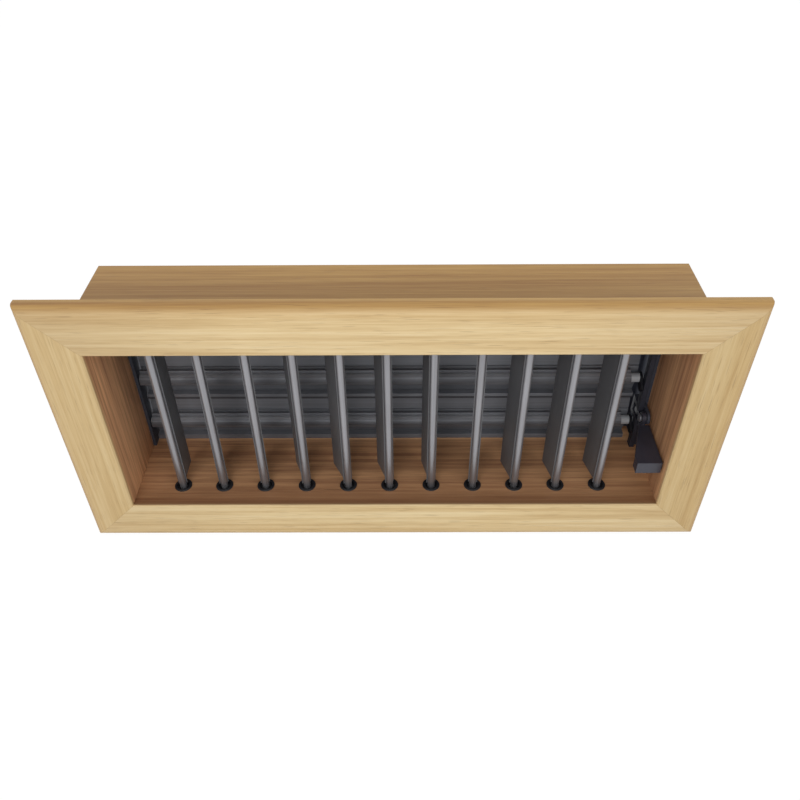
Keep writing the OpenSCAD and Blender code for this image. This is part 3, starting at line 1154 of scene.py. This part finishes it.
@dataclass
class Linkage:
    """The link bar, the finger lever and the lever's pin."""

    edge: float = 0.2 * MM
    lever_edge: float = 0.45 * MM
    pin_r: float = 1.2 * MM
    pin_head_t: float = 1.2 * MM
    recess: Recess = Recess(1.3 * MM, 0.7 * MM)

    def build(self) -> None:
        """Makes the three pieces."""
        for node, finish, body, slot, width in (
            ("link_bar", BAR_PLASTIC, "bar", "black_plastic", self.edge),
            ("finger_lever", LEVER_PLASTIC, "lever", "lever_plastic", self.lever_edge),
        ):
            eased_piece(node + "_eased", node, finish, body, width)
        self._pin()

    def _pin(self) -> None:
        """Makes the pin: a domed head with a cross recess on a plain shank."""
        low, high = span("lever_pin")
        middle, head_r = (low + high) / 2, (high[1] - low[1]) / 2
        neck = high[0] - low[0] - self.pin_head_t
        outline = [(0.0, 0.0), (0.0, self.pin_r), (neck, self.pin_r)]
        outline += screw_head(neck, head_r, self.pin_head_t)
        end = (high[0], middle[1], middle[2])
        part = Turned(end, (-1.0, 0.0, 0.0), outline, HEAD_SEGMENTS, self.recess)
        mesh = turned_mesh("pin", [part])
        finished("lever_pin_turned", mesh, PIN_STEEL, "frame", ["lever_pin"])


@dataclass
class Screws:
    """Countersunk screws in the side rails and pan-head screws in the strip."""

    shank_r: float = 1.3 * MM
    point: float = 1.0 * MM
    head_r: float = 2.5 * MM
    sink: float = 1.2 * MM
    sunk_rim: float = 0.1 * MM
    pan_t: float = 1.0 * MM
    sunk_recess: Recess = Recess(1.5 * MM, 0.7 * MM)
    pan_recess: Recess = Recess(1.5 * MM, 0.56 * MM)

    def build(self) -> None:
        """Makes both groups of screws."""
        self._rail_screws()
        self._strip_screws()

    def _rail_screws(self) -> None:
        """Makes the four screws that go sideways through the rails."""
        low, high = span("rail_screws")
        y = (low[1] + high[1]) / 2
        heads = (span("damper_left_rail")[1][0], span("damper_right_rail")[0][0])
        parts = []
        for head, tip in zip(heads, (low[0], high[0])):
            for z in (low[2] + self.head_r, high[2] - self.head_r):
                parts.append(self._sunk((tip, y, z), abs(tip - head), math.copysign(1.0, -tip)))
        mesh = turned_mesh("rail screws", parts)
        finished("rail_screws_turned", mesh, SCREW_STEEL, "frame", ["rail_screws"])

    def _shank(self, neck: float) -> Outline:
        """A pointed shank's outline up to its neck."""
        return [(0.0, 0.0), (self.point, self.shank_r), (neck, self.shank_r)]

    def _sunk(self, tip: Triple, length: float, side: float) -> Turned:
        """A countersunk screw whose line runs from its tip to its head.

        Args:
            tip: The tip's place.
            length: The screw's length.
            side: 1 if its head is further along X than its tip, else -1.

        Returns:
            The screw's surface.
        """
        outline = [*self._shank(length - self.sink), (length - self.sunk_rim, self.head_r)]
        share = np.linspace(1.0, 0.0, HEAD_RINGS)
        outline += [(length, float(r)) for r in self.head_r * share]
        return Turned(tip, (side, 0.0, 0.0), outline, HEAD_SEGMENTS, self.sunk_recess)

    def _strip_screws(self) -> None:
        """Makes the three screws that go up through the stop strip."""
        low, high = span("strip_screws")
        y = (low[1] + high[1]) / 2
        neck = high[2] - low[2] - self.pan_t
        outline = [*self._shank(neck), *screw_head(neck, self.head_r, self.pan_t)]
        parts = [
            Turned((x, y, high[2]), (0.0, 0.0, -1.0), outline, HEAD_SEGMENTS, self.pan_recess)
            for x in (low[0] + self.head_r, 0.0, high[0] - self.head_r)
        ]
        mesh = turned_mesh("strip screws", parts)
        finished(
            "strip_screws_turned", mesh, SCREW_STEEL, "frame", ["strip_screws"]
        )


@dataclass
class Studio:
    """The pale floor, the soft light and the camera at the photograph's angle."""

    eye: Triple = (4.94 * MM, -255.72 * MM, 236.84 * MM)
    right: Triple = (0.99997959, 0.00232244, -0.0059526)
    down: Triple = (-0.00298188, -0.6543176, -0.75621398)
    ahead: Triple = (-0.00565116, 0.75621629, -0.65429732)
    lens: float = 35.107
    sensor: float = 36.0
    clip: Range = (0.01, 50.0)
    floor_half: float = 6.0
    floor_grey: float = 0.82
    floor_glow: float = 1.04
    glow_share: float = 0.93
    world: float = 0.68
    lamp_size: float = 0.8
    key: float = 4.8
    key_place: Triple = (-0.25, -1.05, 0.72)
    fill: float = 1.2
    fill_place: Triple = (0.8, -0.7, 0.45)

    def build(self, floor_z: float) -> None:
        """Sets up floor, world, lamps and camera.

        Args:
            floor_z: The floor's height, where the object stands.
        """
        bpy.context.scene.view_settings.view_transform = "Standard"
        self._floor(floor_z)
        self._sky()
        self._lamp("key light", self.key_place, self.key)
        self._lamp("fill light", self.fill_place, self.fill)
        self._camera()

    def _floor(self, z: float) -> None:
        """Makes the floor, which the camera sees as near white with the object's shadow.

        Args:
            z: The floor's height.
        """
        mesh = bpy.data.meshes.new("floor")
        half = self.floor_half
        corners = [(-half, -half, z), (half, -half, z), (half, half, z), (-half, half, z)]
        mesh.from_pydata(corners, [], [(0, 1, 2, 3)])
        floor = bpy.data.objects.new("floor", mesh)
        bpy.context.scene.collection.objects.link(floor)
        material = bpy.data.materials.new("pale floor")
        s = Shader(material)
        grey = (*(self.floor_grey,) * 3, 1.0)
        cloth = s.node("ShaderNodeBsdfDiffuse", inputs={"Color": grey})
        light = {"Color": WHITE, "Strength": self.floor_glow}
        glow = s.node("ShaderNodeEmission", inputs=light)
        layers = {0: self._seen(s) * self.glow_share, 1: cloth, 2: glow}
        s.finish(s.node("ShaderNodeMixShader", inputs=layers))
        mesh.materials.append(material)
        floor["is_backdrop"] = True

    @staticmethod
    def _seen(s: Shader) -> Socket:
        """Tells what the camera sees, straight, mirrored or through glass.

        Args:
            s: The nodes of a material or the world.

        Returns:
            1 for what it sees, else 0.
        """
        kinds = ("Is Camera Ray", "Is Glossy Ray", "Is Transmission Ray")
        straight, mirrored, through = (s.node("ShaderNodeLightPath", out=kind) for kind in kinds)
        return (straight + mirrored + through).clamped()

    def _sky(self) -> None:
        """Lights from all round, and shows white to camera, mirror and glass rays."""
        sky = bpy.data.worlds.new("studio")
        bpy.context.scene.world = sky
        s = Shader(sky, "ShaderNodeOutputWorld")
        strength = self._seen(s) * (1.0 - self.world) + self.world
        s.finish(s.node("ShaderNodeBackground", inputs={"Color": WHITE, "Strength": strength}))

    def _lamp(self, name: str, place: Triple, power: float) -> None:
        """Adds a square soft lamp that looks at the object's middle.

        Args:
            name: The lamp's name.
            place: Where it hangs, in metres.
            power: Its power in watts.
        """
        lamp = bpy.data.lights.new(name, "AREA")
        lamp.size = self.lamp_size
        lamp.energy = power
        holder = bpy.data.objects.new(name, lamp)
        holder.location = place
        holder.rotation_euler = (-Vector(place)).to_track_quat("-Z", "Y").to_euler()
        bpy.context.scene.collection.objects.link(holder)

    def _camera(self) -> None:
        """Places the camera from the fitted eye point and view directions."""
        camera = bpy.data.cameras.new("camera")
        camera.lens = self.lens
        camera.sensor_width = self.sensor
        camera.clip_start, camera.clip_end = self.clip
        holder = bpy.data.objects.new("camera", camera)
        columns = np.array([self.right, -np.array(self.down), -np.array(self.ahead)]).T
        holder.matrix_world = Matrix.Translation(self.eye) @ Matrix(columns.tolist()).to_4x4()
        bpy.context.scene.collection.objects.link(holder)
        bpy.context.scene.camera = holder


def main() -> None:
    """Builds the sub-assemblies in order."""
    logging.basicConfig(level=logging.INFO, format="%(name)s: %(message)s")
    low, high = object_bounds()
    for group in (WoodenFrame(), VaneRow(), Damper(), Linkage(), Screws()):
        log.info("building %s", type(group).__name__)
        group.build()
    Studio().build(low.z)


if __name__ == "__main__":
    main()
